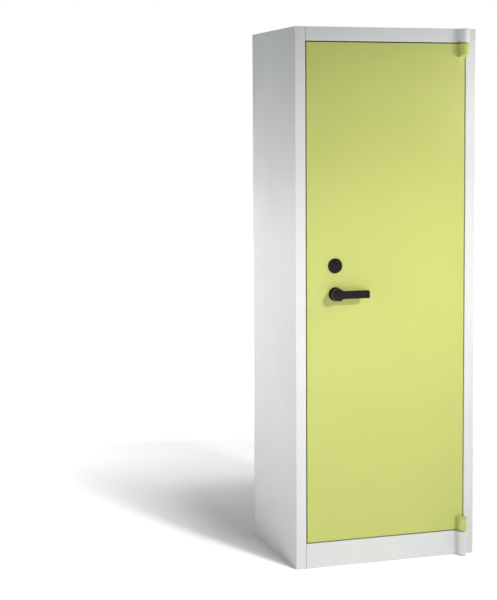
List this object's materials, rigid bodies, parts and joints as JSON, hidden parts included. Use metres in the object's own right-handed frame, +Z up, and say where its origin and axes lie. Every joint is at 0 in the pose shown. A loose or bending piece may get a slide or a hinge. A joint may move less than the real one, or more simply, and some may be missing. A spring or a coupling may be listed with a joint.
{
  "type": "security cupboard",
  "caption": "Tall steel cupboard with one green hinged door, a turning lever that throws bolts on three sides, a separate key lock and adjustable shelves inside.",
  "frame": {"origin": "on the floor, at the middle of the rectangle that the cupboard and its lever cover seen from above", "axes": "+Z up, front and door towards -Y, hinges on the +X side"},
  "size_m": [0.7, 0.55, 1.95],
  "materials": {
    "grey_powder_coat": "light grey powder coat, fine orange peel, satin",
    "green_powder_coat": "yellow-green powder coat, fine orange peel, satin",
    "inner_grey_powder_coat": "grey powder coat, satin",
    "galvanised_steel": "galvanised sheet, faint spangle",
    "zinc_plated_steel": "bright zinc plating",
    "bare_steel": "bright drawn steel",
    "brass": "machined brass",
    "guide_plastic": "moulded nylon",
    "blackened_steel": "oil-blackened steel, dull sheen",
    "black_plastic": "moulded black nylon, satin",
    "buffer_rubber": "matt rubber"
  },
  "bodies": {
    "carcass": {"side_panel_left": "grey_powder_coat", "side_panel_right": "grey_powder_coat", "back_panel": "grey_powder_coat", "top_panel": "grey_powder_coat", "floor_panel": "grey_powder_coat", "top_rail": "grey_powder_coat", "plinth_rail": "grey_powder_coat", "shelf_rail_front_left": "galvanised_steel", "shelf_rail_back_left": "galvanised_steel", "shelf_rail_front_right": "galvanised_steel", "shelf_rail_back_right": "galvanised_steel", "shelf_1": "galvanised_steel", "shelf_2": "galvanised_steel", "shelf_3": "galvanised_steel", "shelf_4": "galvanised_steel", "shelf_clips": "galvanised_steel", "upper_frame_lug": "grey_powder_coat", "lower_frame_lug": "grey_powder_coat", "upper_hinge_pin": "bare_steel", "lower_hinge_pin": "bare_steel", "bolt_keeper": "zinc_plated_steel", "dog_bolt_keeper": "zinc_plated_steel", "top_rod_keeper": "guide_plastic", "bottom_rod_keeper": "guide_plastic", "door_buffers": "buffer_rubber"},
    "door": {"door_skin": "green_powder_coat", "door_inner_pan": "inner_grey_powder_coat", "door_stiffener": "inner_grey_powder_coat", "upper_knuckle": "green_powder_coat", "lower_knuckle": "green_powder_coat", "upper_hinge_bush": "brass", "lower_hinge_bush": "brass", "upper_thrust_washer": "brass", "lower_thrust_washer": "brass", "dog_bolts": "zinc_plated_steel", "handle_rosette": "black_plastic", "handle_bush": "brass", "escutcheon": "black_plastic", "cover_pivot": "blackened_steel", "lock_case": "zinc_plated_steel", "lock_cover": "zinc_plated_steel", "lock_levers": "brass", "lock_screws": "bare_steel", "bolt_guides": "brass", "top_rod_guides": "guide_plastic", "bottom_rod_guides": "guide_plastic", "inner_pan_screws": "zinc_plated_steel"},
    "handle": {"handle_lever": "black_plastic", "spindle": "bare_steel", "drive_disc": "zinc_plated_steel", "grub_screw": "blackened_steel"},
    "side_bolt_carriage": {"bolt_carriage": "zinc_plated_steel", "side_bolts": "zinc_plated_steel"},
    "upper_rod": {"top_rod": "zinc_plated_steel"},
    "lower_rod": {"bottom_rod": "zinc_plated_steel"},
    "lock_bolt_slide": {"lock_bolt": "brass"},
    "keyhole_flap": {"keyhole_cover": "black_plastic"}
  },
  "joints": [
    {"name": "door_hinge", "type": "hinge", "parent": "carcass", "child": "door", "pos_m": [0.2985, -0.2385, 0.9955], "axis": [0, 0, 1], "range_deg": [0, 180]},
    {"name": "lever_turn", "type": "hinge", "parent": "door", "child": "handle", "pos_m": [-0.2, -0.255, 0.996], "axis": [0, 1, 0], "range_deg": [0, 90]},
    {"name": "side_bolt_slide", "type": "slide", "parent": "door", "child": "side_bolt_carriage", "axis": [-1, 0, 0], "range_m": [0, 0.0199]},
    {"name": "upper_rod_slide", "type": "slide", "parent": "door", "child": "upper_rod", "axis": [0, 0, 1], "range_m": [0, 0.0199]},
    {"name": "lower_rod_slide", "type": "slide", "parent": "door", "child": "lower_rod", "axis": [0, 0, -1], "range_m": [0, 0.0199]},
    {"name": "lock_bolt_throw", "type": "slide", "parent": "door", "child": "lock_bolt_slide", "axis": [-1, 0, 0], "range_m": [0, 0.01]},
    {"name": "keyhole_flap_swing", "type": "hinge", "parent": "door", "child": "keyhole_flap", "pos_m": [-0.2, -0.2327, 1.116], "axis": [0, 1, 0], "range_deg": [0, 120]}
  ],
  "couplings": [
    {"joint": "side_bolt_slide", "follows": "lever_turn", "m_per_rad": 0.012604},
    {"joint": "upper_rod_slide", "follows": "lever_turn", "m_per_rad": 0.012604},
    {"joint": "lower_rod_slide", "follows": "lever_turn", "m_per_rad": 0.012604}
  ]
}
